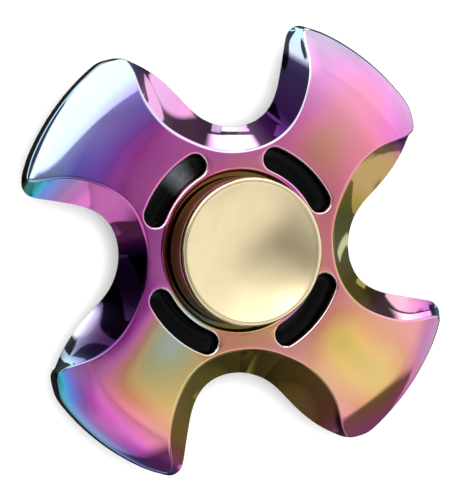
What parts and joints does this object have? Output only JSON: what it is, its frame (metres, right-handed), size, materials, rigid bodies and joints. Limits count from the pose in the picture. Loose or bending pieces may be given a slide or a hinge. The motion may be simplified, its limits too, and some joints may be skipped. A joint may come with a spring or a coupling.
{
  "type": "fidget spinner",
  "caption": "Palm-size fidget spinner: a flared pinwheel metal rotor on a central ball bearing, pinched between two dished round finger caps.",
  "frame": {"origin": "centre of the bearing, on the spin axis and midway between the caps", "axes": "+Z along the spin axis out of the upper cap; +X along arm 1, the other arms follow it anticlockwise seen from +Z"},
  "size_m": [0.0614, 0.0614, 0.0134],
  "materials": {
    "rainbow_metal": "polished",
    "black_inlay": "gloss",
    "gold_cap": "satin",
    "bearing_steel": "satin",
    "shield_steel": "satin",
    "cage_brass": "satin",
    "ball_steel": "polished"
  },
  "bodies": {
    "caps": {"cap_bottom": "gold_cap", "cap_top": "gold_cap", "bearing_inner_ring": "bearing_steel"},
    "rotor": {"spinner_body": "rainbow_metal", "slot_inlay_1": "black_inlay", "slot_inlay_2": "black_inlay", "slot_inlay_3": "black_inlay", "slot_inlay_4": "black_inlay", "bearing_outer_ring": "bearing_steel", "shield_top": "shield_steel", "shield_bottom": "shield_steel", "snap_ring_top": "shield_steel", "snap_ring_bottom": "shield_steel"},
    "cage": {"ball_cage": "cage_brass"},
    "ball_1": {"ball_1": "ball_steel"},
    "ball_2": {"ball_2": "ball_steel"},
    "ball_3": {"ball_3": "ball_steel"},
    "ball_4": {"ball_4": "ball_steel"},
    "ball_5": {"ball_5": "ball_steel"},
    "ball_6": {"ball_6": "ball_steel"},
    "ball_7": {"ball_7": "ball_steel"},
    "ball_8": {"ball_8": "ball_steel"},
    "ball_9": {"ball_9": "ball_steel"},
    "ball_10": {"ball_10": "ball_steel"}
  },
  "joints": [
    {"name": "rotor_spin", "type": "hinge", "parent": "caps", "child": "rotor", "pos_m": [0, 0, 0], "axis": [0, 0, 1], "continuous": true},
    {"name": "cage_orbit", "type": "hinge", "parent": "caps", "child": "cage", "pos_m": [0, 0, 0], "axis": [0, 0, 1], "continuous": true},
    {"name": "ball_1_spin", "type": "hinge", "parent": "cage", "child": "ball_1", "pos_m": [0.00476, 0, 0], "axis": [0, 0, 1], "continuous": true},
    {"name": "ball_2_spin", "type": "hinge", "parent": "cage", "child": "ball_2", "pos_m": [0.00385, 0.0028, 0], "axis": [0, 0, 1], "continuous": true},
    {"name": "ball_3_spin", "type": "hinge", "parent": "cage", "child": "ball_3", "pos_m": [0.00147, 0.00453, 0], "axis": [0, 0, 1], "continuous": true},
    {"name": "ball_4_spin", "type": "hinge", "parent": "cage", "child": "ball_4", "pos_m": [-0.00147, 0.00453, 0], "axis": [0, 0, 1], "continuous": true},
    {"name": "ball_5_spin", "type": "hinge", "parent": "cage", "child": "ball_5", "pos_m": [-0.00385, 0.0028, 0], "axis": [0, 0, 1], "continuous": true},
    {"name": "ball_6_spin", "type": "hinge", "parent": "cage", "child": "ball_6", "pos_m": [-0.00476, 0, 0], "axis": [0, 0, 1], "continuous": true},
    {"name": "ball_7_spin", "type": "hinge", "parent": "cage", "child": "ball_7", "pos_m": [-0.00385, -0.0028, 0], "axis": [0, 0, 1], "continuous": true},
    {"name": "ball_8_spin", "type": "hinge", "parent": "cage", "child": "ball_8", "pos_m": [-0.00147, -0.00453, 0], "axis": [0, 0, 1], "continuous": true},
    {"name": "ball_9_spin", "type": "hinge", "parent": "cage", "child": "ball_9", "pos_m": [0.00147, -0.00453, 0], "axis": [0, 0, 1], "continuous": true},
    {"name": "ball_10_spin", "type": "hinge", "parent": "cage", "child": "ball_10", "pos_m": [0.00385, -0.0028, 0], "axis": [0, 0, 1], "continuous": true}
  ],
  "couplings": [
    {"joint": "cage_orbit", "follows": "rotor_spin", "ratio": 0.58333},
    {"joint": "ball_1_spin", "follows": "rotor_spin", "ratio": 2.9167},
    {"joint": "ball_2_spin", "follows": "rotor_spin", "ratio": 2.9167},
    {"joint": "ball_3_spin", "follows": "rotor_spin", "ratio": 2.9167},
    {"joint": "ball_4_spin", "follows": "rotor_spin", "ratio": 2.9167},
    {"joint": "ball_5_spin", "follows": "rotor_spin", "ratio": 2.9167},
    {"joint": "ball_6_spin", "follows": "rotor_spin", "ratio": 2.9167},
    {"joint": "ball_7_spin", "follows": "rotor_spin", "ratio": 2.9167},
    {"joint": "ball_8_spin", "follows": "rotor_spin", "ratio": 2.9167},
    {"joint": "ball_9_spin", "follows": "rotor_spin", "ratio": 2.9167},
    {"joint": "ball_10_spin", "follows": "rotor_spin", "ratio": 2.9167}
  ]
}
